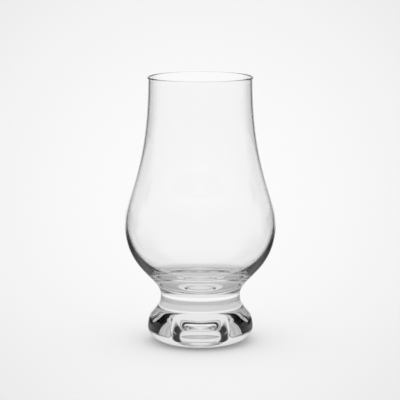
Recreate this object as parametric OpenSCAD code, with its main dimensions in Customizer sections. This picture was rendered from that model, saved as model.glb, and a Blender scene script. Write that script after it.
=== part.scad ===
// Whisky nosing glass: a tulip bowl welded at its waist to a heavy pressed foot

/* [Bowl] */
// Height of the whole glass, from the table to the lip
glass_h = 115; // [95:1:140]
// Outside diameter of the mouth
mouth_d = 45.4; // [36:0.1:54]
// Outside diameter of the bowl where it is widest
belly_d = 65.3; // [56:0.1:80]
// Height at which the bowl is widest
belly_z = 51.7; // [44:0.1:64]
// Thickness of the wall at the lip
lip_wall = 1.15; // [1:0.05:3]
// Thickness of the wall where the bowl is widest
belly_wall = 1.15; // [1:0.05:4]
// Height of the deepest point of the hollow
hollow_floor_z = 24.5; // [24:0.5:36]

/* [Waist] */
// Outside diameter of the narrow waist, where bowl and foot are welded
waist_d = 34.4; // [26:0.1:42]
// Height of the waist and of the weld
waist_z = 20.2; // [16:0.1:23]

/* [Foot] */
// Outside diameter of the foot where it is widest
foot_d = 45.5; // [40:0.1:56]
// Height at which the foot is widest
foot_z = 6.3; // [4:0.1:9]
// Outside diameter of the flat ring that stands on the table
rest_d = 29; // [26:0.5:34]
// Width of the flat ring
rest_w = 1; // [0.6:0.1:3]
// Width of the hollow pressed up into the underside
punt_d = 20; // [14:0.1:24]
// Height of that hollow above the table
punt_h = 6; // [2:0.1:9]
// Height of the hollow's rim above the table
punt_rim_z = 0.3; // [0.1:0.1:1.5]

/* [Hidden] */
$fn = 128;
curve_steps = 16;
lip_steps = 8;
glass_tint = [0.93, 0.95, 0.95, 0.45];

mouth_r = mouth_d / 2;
belly_r = belly_d / 2;
waist_r = waist_d / 2;
foot_r = foot_d / 2;
rest_r = rest_d / 2;
punt_r = punt_d / 2;
lip_r = lip_wall / 2;

// How far each end of a curve holds its upright line, as a share of the rise between them
neck_hold_shares = [0.2, 0.62];
swell_hold_shares = [0.27, 0.65];
foot_hold_shares = [0.47, 0.58];
// How far the foot's edge stays upright, then flat, as shares of its height and its width
foot_edge_hold_shares = [0.7, 0.29];
// How far the hollow stays upright under the belly, then level at its floor
hollow_hold_shares = [0.68, 0.36];
// How far the punt stays upright above its rim, then level under its crown
punt_hold_shares = [0.75, 0.7];

function bezier(p, t) =
    pow(1 - t, 3) * p[0] + 3 * t * pow(1 - t, 2) * p[1] + 3 * t * t * (1 - t) * p[2] + pow(t, 3) * p[3];

// Points after the first on a curve through four control points
function curve(p) = [for (i = [1 : curve_steps]) bezier(p, i / curve_steps)];

// Curve that is upright at both ends
function upright_curve(a, b, hold_shares) =
    curve([a, a + [0, hold_shares[0] * (b.y - a.y)], b - [0, hold_shares[1] * (b.y - a.y)], b]);

// Curve that is upright at a and level at b
function dome_curve(a, b, hold_shares) =
    curve([a, a + [0, hold_shares[0] * (b.y - a.y)], b - [hold_shares[1] * (b.x - a.x), 0], b]);

// Rounded lip, from the outside of the wall over to the inside
function lip_curve() =
    [for (i = [1 : lip_steps])
        [mouth_r - lip_r + lip_r * cos(180 * i / lip_steps), glass_h - lip_r + lip_r * sin(180 * i / lip_steps)]];

bowl_waist = [waist_r, waist_z];
bowl_belly = [belly_r, belly_z];
bowl_mouth = [mouth_r, glass_h - lip_r];
hollow_mouth = [mouth_r - lip_wall, glass_h - lip_r];
hollow_belly = [belly_r - belly_wall, belly_z];
hollow_floor = [0, hollow_floor_z];

// Blown bowl, thick at the bottom, with its weld face at the waist
module bowl() {
    color(glass_tint)
        rotate_extrude()
            polygon(concat(
                [[0, waist_z], bowl_waist],
                upright_curve(bowl_waist, bowl_belly, swell_hold_shares),
                upright_curve(bowl_belly, bowl_mouth, neck_hold_shares),
                lip_curve(),
                upright_curve(hollow_mouth, hollow_belly, [neck_hold_shares[1], neck_hold_shares[0]]),
                dome_curve(hollow_belly, hollow_floor, hollow_hold_shares)
            ));
}

foot_side = [foot_r, foot_z];
rest_outer = [rest_r, 0];
rest_inner = [rest_r - rest_w, 0];
punt_rim = [punt_r, punt_rim_z];
punt_crown = [0, punt_h];

// Edge of the foot, rolled in from its widest part to the flat ring
function foot_edge_curve() =
    curve([
        foot_side,
        foot_side - [0, foot_edge_hold_shares[0] * foot_z],
        rest_outer + [foot_edge_hold_shares[1] * (foot_r - rest_r), 0],
        rest_outer
    ]);

// Solid pressed foot on a flat ring, with a steep-sided punt under it
module foot() {
    color(glass_tint)
        rotate_extrude()
            polygon(concat(
                [rest_inner, punt_rim],
                dome_curve(punt_rim, punt_crown, punt_hold_shares),
                [[0, waist_z], bowl_waist],
                upright_curve(bowl_waist, foot_side, foot_hold_shares),
                foot_edge_curve()
            ));
}

bowl();
foot();
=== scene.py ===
import math
import bpy
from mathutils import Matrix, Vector


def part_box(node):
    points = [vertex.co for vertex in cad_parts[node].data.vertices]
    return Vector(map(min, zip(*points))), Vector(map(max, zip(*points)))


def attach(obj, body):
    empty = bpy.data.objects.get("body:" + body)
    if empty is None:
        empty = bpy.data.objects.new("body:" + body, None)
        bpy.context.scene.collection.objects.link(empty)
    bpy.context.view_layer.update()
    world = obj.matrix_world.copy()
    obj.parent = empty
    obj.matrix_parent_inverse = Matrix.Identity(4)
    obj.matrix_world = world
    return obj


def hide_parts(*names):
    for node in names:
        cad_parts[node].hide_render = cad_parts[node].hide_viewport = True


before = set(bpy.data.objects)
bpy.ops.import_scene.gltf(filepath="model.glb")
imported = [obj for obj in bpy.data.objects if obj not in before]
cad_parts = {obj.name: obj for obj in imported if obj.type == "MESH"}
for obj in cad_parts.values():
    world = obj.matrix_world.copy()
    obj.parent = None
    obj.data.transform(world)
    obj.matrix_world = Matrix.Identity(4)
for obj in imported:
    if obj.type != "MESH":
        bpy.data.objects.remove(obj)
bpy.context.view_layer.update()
bowlLow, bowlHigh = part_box("bowl")
footLow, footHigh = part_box("foot")

weldHeight = bowlLow.z   # bowl and foot are fused at the narrow waist
waistRadius = 0.0172
lathe = {"turns": 256, "curvePoints": 48, "lipPoints": 16}


def widest(low, high):
    # The largest radius about the axis that stays inside a box
    return min(high.x, -low.x, high.y, -low.y)


def curve(p0, p1, p2, p3):
    # Points after the first on a Bezier curve, closer together at both ends
    points = []
    for i in range(1, lathe["curvePoints"] + 1):
        t = 0.5 - 0.5 * math.cos(math.pi * i / lathe["curvePoints"])
        u = 1 - t
        points.append(p0 * u ** 3 + p1 * 3 * t * u ** 2 + p2 * 3 * t * t * u + p3 * t ** 3)
    return points


def uprightCurve(a, b, holds):
    # Upright at both ends; the holds say for what share of the rise
    rise = Vector((0, b.y - a.y))
    return curve(a, a + rise * holds[0], b - rise * holds[1], b)


def domeCurve(a, b, holds):
    # Upright at a, level at b
    return curve(a, a + Vector((0, (b.y - a.y) * holds[0])), b - Vector(((b.x - a.x) * holds[1], 0)), b)


# Blown bowl: everything above the weld
bowlSizes = {
    "mouthRadius": 0.0227,
    "lipWall": 0.00115,
    "bellyWall": 0.00105,
    "bellyHeight": 0.0517,
    "hollowFloor": 0.0244,
    "swellHolds": (0.27, 0.65),    # at the waist, then at the belly
    "neckHolds": (0.2, 0.62),      # at the belly, then at the lip
    "hollowHolds": (0.74, 0.32),   # under the belly, then at the floor
    "streakScale": 60,
    "shadow": 0.02,                # the share of the light that it keeps off the table
}


def bowlOutline():
    s = bowlSizes
    lipRadius = s["lipWall"] / 2
    waist = Vector((waistRadius, weldHeight))
    belly = Vector((widest(bowlLow, bowlHigh), s["bellyHeight"]))
    mouth = Vector((s["mouthRadius"], bowlHigh.z - lipRadius))
    points = [Vector((0, weldHeight)), waist]
    points += uprightCurve(waist, belly, s["swellHolds"])
    points += uprightCurve(belly, mouth, s["neckHolds"])
    lipCentre = mouth - Vector((lipRadius, 0))
    for i in range(1, lathe["lipPoints"] + 1):
        a = math.pi * i / lathe["lipPoints"]
        points.append(lipCentre + Vector((math.cos(a), math.sin(a))) * lipRadius)
    innerBelly = belly - Vector((s["bellyWall"], 0))
    points += uprightCurve(points[-1], innerBelly, s["neckHolds"][::-1])
    points += domeCurve(innerBelly, Vector((0, s["hollowFloor"])), s["hollowHolds"])
    return points


# Pressed foot: everything below the weld
footSizes = {
    "sideHeight": 0.0063,
    "restOuter": 0.0145,
    "restInner": 0.0133,
    "puntRadius": 0.009,
    "puntHeight": 0.0069,
    "puntRim": 0.0006,
    "sideHolds": (0.58, 0.47),     # at the foot's widest place, then at the waist
    "edgeHolds": (0.7, 0.29),      # under the widest place, then at the resting ring
    "puntHolds": (0.95, 0.95),     # level under the crown, then upright over the rim
    "streakScale": 90,
    "shadow": 0.55,
}


def footOutline():
    s = footSizes
    inner, outer = Vector((s["restInner"], 0)), Vector((s["restOuter"], 0))
    side = Vector((widest(footLow, footHigh), s["sideHeight"]))
    waist = Vector((waistRadius, weldHeight))
    crown, rim = Vector((0, s["puntHeight"])), Vector((s["puntRadius"], s["puntRim"]))
    points = [crown]
    points += domeCurve(rim, crown, s["puntHolds"][::-1])[-2::-1] + [rim]
    points += curve(rim, rim.lerp(inner, 1 / 3), rim.lerp(inner, 2 / 3), inner)
    points.append(outer)
    points += curve(
        outer,
        outer + Vector(((side.x - outer.x) * s["edgeHolds"][1], 0)),
        side - Vector((0, side.y * s["edgeHolds"][0])),
        side,
    )
    points += uprightCurve(side, waist, s["sideHolds"])
    return points + [Vector((0, weldHeight))]


def addNode(tree, kind, place=(0, 0), **settings):
    node = tree.nodes.new(kind)
    node.location = place
    for name, value in settings.items():
        setattr(node, name, value)
    return node


def feed(tree, socket, value):
    # A socket takes a plain number or another node's output
    if isinstance(value, (int, float)):
        socket.default_value = value
    else:
        tree.links.new(value, socket)


def mathNode(tree, operation, *values, place=(0, 0)):
    node = addNode(tree, "ShaderNodeMath", place, operation=operation)
    for socket, value in zip(node.inputs, values):
        feed(tree, socket, value)
    return node.outputs[0]


def latheTree():
    # Revolves an outline of points about Z and closes the seam and the poles
    tree = bpy.data.node_groups.new("lathe", "GeometryNodeTree")
    inputKinds = {
        "Outline": "Geometry",
        "Turns": "Int",
        "Weld height": "Float",
        "Glass": "Material",
        "Weld": "Material",
    }
    for name, kind in inputKinds.items():
        tree.interface.new_socket(name, in_out="INPUT", socket_type="NodeSocket" + kind)
    tree.interface.new_socket("Piece", in_out="OUTPUT", socket_type="NodeSocketGeometry")
    link = tree.links.new
    sizes = addNode(tree, "NodeGroupInput", (-1000, 0)).outputs

    # A grid with a column for each step round, the first one twice, and a row for each point of the outline
    count = addNode(tree, "GeometryNodeAttributeDomainSize", (-800, 200), component="MESH")
    link(sizes["Outline"], count.inputs[0])
    rowPoints = count.outputs["Point Count"]
    grid = addNode(tree, "GeometryNodeMeshGrid", (-600, 200))
    link(mathNode(tree, "ADD", sizes["Turns"], 1, place=(-800, -50)), grid.inputs["Vertices X"])
    link(rowPoints, grid.inputs["Vertices Y"])

    # Each point takes its place from the outline and is swung round to its column
    index = addNode(tree, "GeometryNodeInputIndex", (-800, -250)).outputs[0]
    along = mathNode(tree, "MODULO", index, rowPoints, place=(-600, -100))
    columnShare = mathNode(tree, "DIVIDE", index, rowPoints, place=(-600, -300))
    column = mathNode(tree, "FLOOR", columnShare, place=(-450, -300))
    turnShare = mathNode(tree, "DIVIDE", column, sizes["Turns"], place=(-300, -300))
    angle = mathNode(tree, "MULTIPLY", turnShare, 2 * math.pi, place=(-150, -300))
    place = addNode(tree, "GeometryNodeInputPosition", (-600, 0)).outputs[0]
    sample = addNode(tree, "GeometryNodeSampleIndex", (-350, 0), data_type="FLOAT_VECTOR", domain="POINT")
    link(sizes["Outline"], sample.inputs["Geometry"])
    link(place, sample.inputs["Value"])
    link(along, sample.inputs["Index"])
    spin = addNode(tree, "ShaderNodeVectorRotate", (0, -100), rotation_type="Z_AXIS")
    link(sample.outputs[0], spin.inputs["Vector"])
    link(angle, spin.inputs["Angle"])
    shape = addNode(tree, "GeometryNodeSetPosition", (150, 200))
    link(grid.outputs["Mesh"], shape.inputs["Geometry"])
    link(spin.outputs[0], shape.inputs["Position"])
    merge = addNode(tree, "GeometryNodeMergeByDistance", (300, 200))
    link(shape.outputs[0], merge.inputs["Geometry"])
    merge.inputs["Distance"].default_value = 1e-7

    # Smooth all over, with a sharp edge round the flat weld face
    smooth = addNode(tree, "GeometryNodeSetShadeSmooth", (450, 200), domain="FACE")
    link(merge.outputs[0], smooth.inputs["Geometry"])
    height = addNode(tree, "ShaderNodeSeparateXYZ", (300, -150))
    link(place, height.inputs[0])
    atWeld = addNode(tree, "FunctionNodeCompare", (450, -150), data_type="FLOAT", operation="EQUAL")
    link(height.outputs["Z"], atWeld.inputs["A"])
    link(sizes["Weld height"], atWeld.inputs["B"])
    atWeld.inputs["Epsilon"].default_value = 1e-6
    crease = addNode(tree, "GeometryNodeSetShadeSmooth", (600, 200), domain="EDGE")
    link(smooth.outputs[0], crease.inputs["Geometry"])
    link(atWeld.outputs[0], crease.inputs["Selection"])
    crease.inputs["Shade Smooth"].default_value = False

    real = addNode(tree, "GeometryNodeRealizeInstances", (750, 200))
    link(crease.outputs[0], real.inputs[0])
    clear = addNode(tree, "GeometryNodeSetMaterial", (900, 200))
    link(real.outputs[0], clear.inputs["Geometry"])
    link(sizes["Glass"], clear.inputs["Material"])
    welded = addNode(tree, "GeometryNodeSetMaterial", (1050, 200))
    link(clear.outputs[0], welded.inputs["Geometry"])
    link(atWeld.outputs[0], welded.inputs["Selection"])
    link(sizes["Weld"], welded.inputs["Material"])
    link(welded.outputs[0], addNode(tree, "NodeGroupOutput", (1200, 200)).inputs[0])
    return tree


def lathePiece(name, outline, tree, glass, weld):
    mesh = bpy.data.meshes.new(name + "Outline")
    mesh.from_pydata([(p.x, 0, p.y) for p in outline], [(i, i + 1) for i in range(len(outline) - 1)], [])
    draft = bpy.data.objects.new(name + "Draft", mesh)
    bpy.context.scene.collection.objects.link(draft)
    modifier = draft.modifiers.new("lathe", "NODES")
    modifier.node_group = tree
    values = {"Turns": lathe["turns"], "Weld height": weldHeight, "Glass": glass, "Weld": weld}
    for item in tree.interface.items_tree:
        if item.item_type == "SOCKET" and item.in_out == "INPUT" and item.name in values:
            modifier[item.identifier] = values[item.name]
    bpy.context.view_layer.update()
    evaluated = draft.evaluated_get(bpy.context.evaluated_depsgraph_get())
    solid = bpy.data.meshes.new_from_object(evaluated)
    solid.name = name
    draft.modifiers.remove(modifier)
    bpy.data.objects.remove(draft)
    bpy.data.meshes.remove(mesh)
    piece = bpy.data.objects.new(name, solid)
    bpy.context.scene.collection.objects.link(piece)
    print(name, "turned:", len(solid.vertices), "points,", len(solid.polygons), "faces")
    return piece


glassLook = {"ior": 1.505, "clear": 1.0, "streaked": 0.99, "streakDetail": 2}


def glassMaterial(name, sizes):
    # Clear crystal with faint streaks; the room's light goes through it to the table and loses a share
    material = bpy.data.materials.new(name)
    material.use_nodes = True
    tree = material.node_tree
    shader = tree.nodes["Principled BSDF"]
    shader.inputs["Transmission Weight"].default_value = 1
    shader.inputs["IOR"].default_value = glassLook["ior"]
    shader.inputs["Roughness"].default_value = 0
    where = addNode(tree, "ShaderNodeTexCoord", (-900, 0))
    cloud = addNode(tree, "ShaderNodeTexNoise", (-700, 0))
    cloud.inputs["Scale"].default_value = sizes["streakScale"]
    cloud.inputs["Detail"].default_value = glassLook["streakDetail"]
    tree.links.new(where.outputs["Object"], cloud.inputs["Vector"])
    grey = addNode(tree, "ShaderNodeMapRange", (-500, 0))
    tree.links.new(cloud.outputs["Fac"], grey.inputs["Value"])
    grey.inputs["To Min"].default_value = glassLook["streaked"]
    grey.inputs["To Max"].default_value = glassLook["clear"]
    tree.links.new(grey.outputs["Result"], shader.inputs["Base Color"])
    path = addNode(tree, "ShaderNodeLightPath", (-300, 400)).outputs
    towardTable = mathNode(tree, "MAXIMUM", path["Is Shadow Ray"], path["Is Diffuse Ray"], place=(-100, 400))
    thinned = addNode(tree, "ShaderNodeBsdfTransparent", (-100, 200))
    passed = 1 - sizes["shadow"]
    thinned.inputs["Color"].default_value = (passed, passed, passed, 1)
    mix = addNode(tree, "ShaderNodeMixShader", (300, 200))
    tree.links.new(towardTable, mix.inputs["Fac"])
    tree.links.new(shader.outputs[0], mix.inputs[1])
    tree.links.new(thinned.outputs[0], mix.inputs[2])
    tree.links.new(mix.outputs[0], tree.nodes["Material Output"].inputs["Surface"])
    return material


def weldMaterial():
    # The fused faces bend no light
    material = bpy.data.materials.new("weldedFace")
    material.use_nodes = True
    tree = material.node_tree
    tree.nodes.remove(tree.nodes["Principled BSDF"])
    clear = addNode(tree, "ShaderNodeBsdfTransparent")
    tree.links.new(clear.outputs[0], tree.nodes["Material Output"].inputs["Surface"])
    return material


print("turning the glass")
turning = latheTree()
weldFace = weldMaterial()
blownGlass = glassMaterial("blownGlass", bowlSizes)
pressedGlass = glassMaterial("pressedGlass", footSizes)
bowlPiece = lathePiece("glassBowl", bowlOutline(), turning, blownGlass, weldFace)
footPiece = lathePiece("glassFoot", footOutline(), turning, pressedGlass, weldFace)
for piece, node, slotName in ((bowlPiece, "bowl", "bowl_glass"), (footPiece, "foot", "foot_glass")):
    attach(piece, "root")
    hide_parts(node)
print("bowl and foot replace their nodes")

# The photo's camera, in front of the glass and a little above its mouth
view = {
    "distance": 0.8,
    "height": 0.19429,
    "pitch": 0.1643,           # radians below level
    "focal": 169.37,
    "sensor": 36,
    "axisShift": 0.35 / 400,   # the glass stands this share of the picture to the right
    "clipNear": 0.01,
    "clipFar": 100,
}

studio = {
    "floorRadius": 9,
    "floorDrop": 0.00004,
    "floorPale": 0.965,
    "floorPaintedShade": 5.5,          # how fast the painted shade darkens the paper away from the middle of the view
    "floorPaintedShadeMost": 0.13,
    "worldPale": 1.0,
}

# What the glass sees round it, as in a studio with one bright wall behind and a softbox overhead.
# Angles are in degrees, and those round the glass start straight behind it.
# An edge is half the width of its blur.
wall = {"level": 0.828, "halfWidth": 28.4, "edge": 11, "top": 90, "topEdge": 2}
softbox = {"level": 0.558, "height": 69.3, "radius": 62, "edge": 12}
sidePanels = {"level": 0.59, "centre": 70, "halfWidth": 30.3, "edge": 19.8, "top": 10.7, "topEdge": 1}
room = {"level": 0.012, "frontLevel": 0.44, "frontFrom": 80.5, "frontEdge": 5.3}
# Painted light and shade on the table, seen only by the glass as a glow: levels that stand in for how the
# lamps light it and how the foot shades it
table = {
    "near": 0.818,
    "front": 1.0,
    "frontFrom": 90,
    "frontEdge": 40,
    "inside": 0.73,            # painted light within the foot's ring
    "insideReach": 0.0135,
    "insideFade": 0.05,
    "footShadow": 0.449,          # painted shadow close to the foot
    "footShadowReach": 0.0479,
    "footShadowFade": 0.192,
    "behind": 1.0,             # painted light far off, in front of the bright wall
    "outer": 0.47,             # painted shade far off, beside and before the glass
    "farReach": 0.0513,
    "farFade": 2.0,
    "aside": 0.02,             # painted shade in the dark gap between the wall and the side panels
    "asideReach": 0.0531,
    "asideFade": 1.8,
    "asideFrom": 26.2,
    "asideFromEdge": 9,
    "asideTo": 56.3,
    "asideToEdge": 7.5,
}


def softStep(tree, value, middle, spread):
    # 0 well below the middle, 1 well above it
    node = addNode(tree, "ShaderNodeMapRange", interpolation_type="SMOOTHSTEP")
    node.inputs["From Min"].default_value = middle - spread
    node.inputs["From Max"].default_value = middle + spread
    tree.links.new(value, node.inputs["Value"])
    return node.outputs["Result"]


def blend(tree, share, low, high):
    # low + (high - low) * share
    node = addNode(tree, "ShaderNodeMapRange", clamp=False)
    tree.links.new(share, node.inputs["Value"])
    feed(tree, node.inputs["To Min"], low)
    feed(tree, node.inputs["To Max"], high)
    return node.outputs["Result"]


def splitAxes(tree, vector):
    node = addNode(tree, "ShaderNodeSeparateXYZ")
    tree.links.new(vector, node.inputs[0])
    return node.outputs


def azimuth(tree, axes):
    # Degrees away from straight behind the glass, on either side
    side = mathNode(tree, "ABSOLUTE", axes["X"])
    return mathNode(tree, "DEGREES", mathNode(tree, "ARCTAN2", side, axes["Y"]))


def seenByGlass(tree):
    # 1 for light that comes by way of the glass, 0 for what the camera sees beside it
    path = addNode(tree, "ShaderNodeLightPath").outputs
    return mathNode(tree, "MAXIMUM", path["Is Glossy Ray"], path["Is Transmission Ray"])


def turnedInGlass(tree):
    # 1 for light that was reflected on its way, 0 for light that came straight through
    path = addNode(tree, "ShaderNodeLightPath").outputs
    return mathNode(tree, "MINIMUM", path["Glossy Depth"], 1.0)


def beyond(tree, length, name):
    # 0 well inside one of the table's reaches, 1 well outside it
    ratio = mathNode(tree, "DIVIDE", length, table[name + "Reach"])
    return softStep(tree, mathNode(tree, "LOGARITHM", ratio, math.e), 0, table[name + "Fade"])


def paintedTableLight(tree, where, axes):
    # Painted light and shade: the table as the glass sees it, a glow in place of the lamps' light on it
    angle = azimuth(tree, axes)
    measure = addNode(tree, "ShaderNodeVectorMath", operation="LENGTH")
    tree.links.new(where, measure.inputs[0])
    length = measure.outputs["Value"]
    turned = turnedInGlass(tree)
    before = softStep(tree, angle, table["frontFrom"], table["frontEdge"])
    near = blend(tree, before, table["near"], table["front"])
    near = blend(tree, beyond(tree, length, "footShadow"), table["footShadow"], near)
    behind = blend(tree, beyond(tree, length, "far"), near, table["behind"])
    outer = blend(tree, beyond(tree, length, "far"), near, table["outer"])
    outer = blend(tree, turned, behind, outer)
    aside = blend(tree, beyond(tree, length, "aside"), near, table["aside"])
    aside = blend(tree, turned, behind, aside)
    level = blend(tree, softStep(tree, angle, table["asideFrom"], table["asideFromEdge"]), behind, aside)
    level = blend(tree, softStep(tree, angle, table["asideTo"], table["asideToEdge"]), level, outer)
    return blend(tree, beyond(tree, length, "inside"), table["inside"], level)


def paintedPoolOfLight(tree, axes):
    # Painted pool of light: the paper is painted palest in the middle of the main camera's view, and painted
    # shade darkens it evenly away from there
    depth = mathNode(tree, "ADD", axes["Y"], view["distance"])
    across = mathNode(tree, "DIVIDE", axes["X"], depth)
    down = mathNode(tree, "DIVIDE", view["height"], depth)
    along = mathNode(tree, "SUBTRACT", down, math.tan(view["pitch"]))
    acrossSquare = mathNode(tree, "MULTIPLY", across, across)
    alongSquare = mathNode(tree, "MULTIPLY", along, along)
    spread = mathNode(tree, "ADD", acrossSquare, alongSquare)
    paintedShade = mathNode(tree, "MULTIPLY", spread, studio["floorPaintedShade"])
    paintedShade = mathNode(tree, "MINIMUM", paintedShade, studio["floorPaintedShadeMost"])
    return mathNode(tree, "MULTIPLY", mathNode(tree, "SUBTRACT", 1.0, paintedShade), studio["floorPale"])


def makeFloor():
    mesh = bpy.data.meshes.new("floor")
    r = studio["floorRadius"]
    mesh.from_pydata([(-r, -r, 0), (r, -r, 0), (r, r, 0), (-r, r, 0)], [], [(0, 1, 2, 3)])
    floor = bpy.data.objects.new("floor", mesh)
    floor.location.z = footLow.z - studio["floorDrop"]
    bpy.context.scene.collection.objects.link(floor)
    material = bpy.data.materials.new("palePaperAndPaintedLight")
    material.use_nodes = True
    tree = material.node_tree
    shader = tree.nodes["Principled BSDF"]
    shader.inputs["Roughness"].default_value = 1
    shader.inputs["Specular IOR Level"].default_value = 0
    where = addNode(tree, "ShaderNodeTexCoord").outputs["Object"]
    axes = splitAxes(tree, where)
    # The camera sees the paper with its painted pool of light and painted shade, lit by the world
    tree.links.new(paintedPoolOfLight(tree, axes), shader.inputs["Base Color"])
    # The glass sees a painted glow instead: the table's painted light and shade, not lit by any lamp
    paintedGlow = addNode(tree, "ShaderNodeEmission")
    tree.links.new(paintedTableLight(tree, where, axes), paintedGlow.inputs["Color"])
    mix = addNode(tree, "ShaderNodeMixShader")
    tree.links.new(seenByGlass(tree), mix.inputs["Fac"])
    tree.links.new(shader.outputs[0], mix.inputs[1])
    tree.links.new(paintedGlow.outputs[0], mix.inputs[2])
    tree.links.new(mix.outputs[0], tree.nodes["Material Output"].inputs["Surface"])
    mesh.materials.append(material)
    print("floor laid")


def wallLight(tree, angle, height):
    beside = softStep(tree, angle, wall["halfWidth"], wall["edge"])
    above = softStep(tree, height, wall["top"], wall["topEdge"])
    return blend(tree, mathNode(tree, "MAXIMUM", beside, above), wall["level"], 0.0)


def panelLight(tree, angle, height):
    across = mathNode(tree, "ABSOLUTE", mathNode(tree, "SUBTRACT", angle, sidePanels["centre"]))
    beside = softStep(tree, across, sidePanels["halfWidth"], sidePanels["edge"])
    above = softStep(tree, height, sidePanels["top"], sidePanels["topEdge"])
    return blend(tree, mathNode(tree, "MAXIMUM", beside, above), sidePanels["level"], 0.0)


def softboxLight(tree, direction):
    # Overhead, on the camera's side
    tilt = math.radians(softbox["height"])
    aim = addNode(tree, "ShaderNodeVectorMath", operation="DOT_PRODUCT")
    tree.links.new(direction, aim.inputs[0])
    aim.inputs[1].default_value = (0, -math.cos(tilt), math.sin(tilt))
    away = mathNode(tree, "DEGREES", mathNode(tree, "ARCCOSINE", aim.outputs["Value"]))
    return blend(tree, softStep(tree, away, softbox["radius"], softbox["edge"]), softbox["level"], 0.0)


def makeWorld():
    # Plain white light for the table and the camera, and the studio's lamps for the glass
    world = bpy.data.worlds.new("studio")
    bpy.context.scene.world = world
    world.use_nodes = True
    tree = world.node_tree
    direction = addNode(tree, "ShaderNodeTexCoord").outputs["Generated"]
    axes = splitAxes(tree, direction)
    angle = azimuth(tree, axes)
    height = mathNode(tree, "DEGREES", mathNode(tree, "ARCSINE", axes["Z"]))
    before = softStep(tree, angle, room["frontFrom"], room["frontEdge"])
    seen = blend(tree, before, room["level"], room["frontLevel"])
    lamps = (wallLight(tree, angle, height), panelLight(tree, angle, height), softboxLight(tree, direction))
    for lamp in lamps:
        seen = mathNode(tree, "MAXIMUM", seen, lamp)
    seen = blend(tree, turnedInGlass(tree), wall["level"], seen)
    level = blend(tree, seenByGlass(tree), studio["worldPale"], seen)
    tree.links.new(level, tree.nodes["Background"].inputs["Color"])
    print("studio lit")


def makeCamera():
    data = bpy.data.cameras.new("camera")
    data.sensor_width = view["sensor"]
    data.lens = view["focal"]
    data.shift_x = -view["axisShift"]
    data.clip_start = view["clipNear"]
    data.clip_end = view["clipFar"]
    camera = bpy.data.objects.new("camera", data)
    camera.location = (0, -view["distance"], view["height"])
    camera.rotation_euler = (math.pi / 2 - view["pitch"], 0, 0)
    bpy.context.scene.collection.objects.link(camera)
    bpy.context.scene.camera = camera
    print("camera placed")


makeFloor()
makeWorld()
makeCamera()
bpy.context.scene.view_settings.view_transform = "Standard"

# The solid foot turns light round many times before it leaves
lightTurns = {"max_bounces": 24, "glossy_bounces": 7, "transmission_bounces": 24}
for name, value in lightTurns.items():
    setattr(bpy.context.scene.cycles, name, value)
